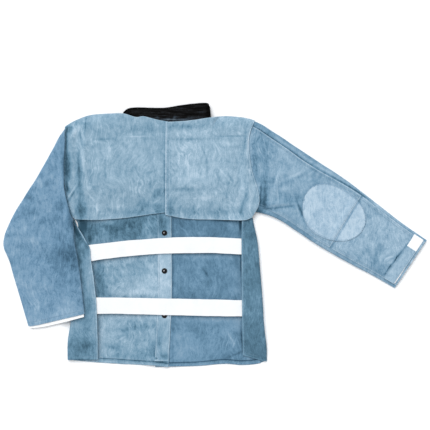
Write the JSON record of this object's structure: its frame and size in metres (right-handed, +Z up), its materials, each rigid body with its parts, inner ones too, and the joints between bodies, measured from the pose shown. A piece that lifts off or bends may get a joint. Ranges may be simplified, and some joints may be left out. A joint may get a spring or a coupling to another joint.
{
  "type": "welding jacket",
  "caption": "Blue-grey split-leather welding jacket with an open back, elastic bands, elbow patch and dark stand-up collar, lying flat with its back upward.",
  "frame": {"origin": "on the floor under the middle of the jacket's outline", "axes": "+Z up from the floor, +Y towards the collar, +X towards the stretched-out sleeve"},
  "size_m": [1.2268, 0.764, 0.0366],
  "materials": {
    "suede": "napped split leather, matt",
    "suede_light": "paler napped split leather, matt",
    "elastic": "woven white elastic",
    "loop_tape": "white loop tape",
    "collar_cloth": "black napped cloth",
    "stud": "black lacquered metal"
  },
  "bodies": {
    "root": {"front_left": "suede", "front_right": "suede", "front_facing": "suede", "side_left": "suede", "side_right": "suede", "yoke_left": "suede", "yoke_right": "suede", "sleeve_right_upper": "suede", "sleeve_right_forearm": "suede", "sleeve_right_under": "suede", "cuff_tab_right": "suede", "sleeve_left_front": "suede", "sleeve_left_back": "suede", "elbow_patch_upper": "suede_light", "elbow_patch_lower": "suede_light", "elastic_upper": "elastic", "elastic_lower": "elastic", "cuff_tape_right": "loop_tape", "cuff_tape_left": "loop_tape", "collar": "collar_cloth", "snap_1": "stud", "snap_2": "stud", "snap_3": "stud", "snap_4": "stud", "snap_5": "stud"}
  },
  "joints": []
}
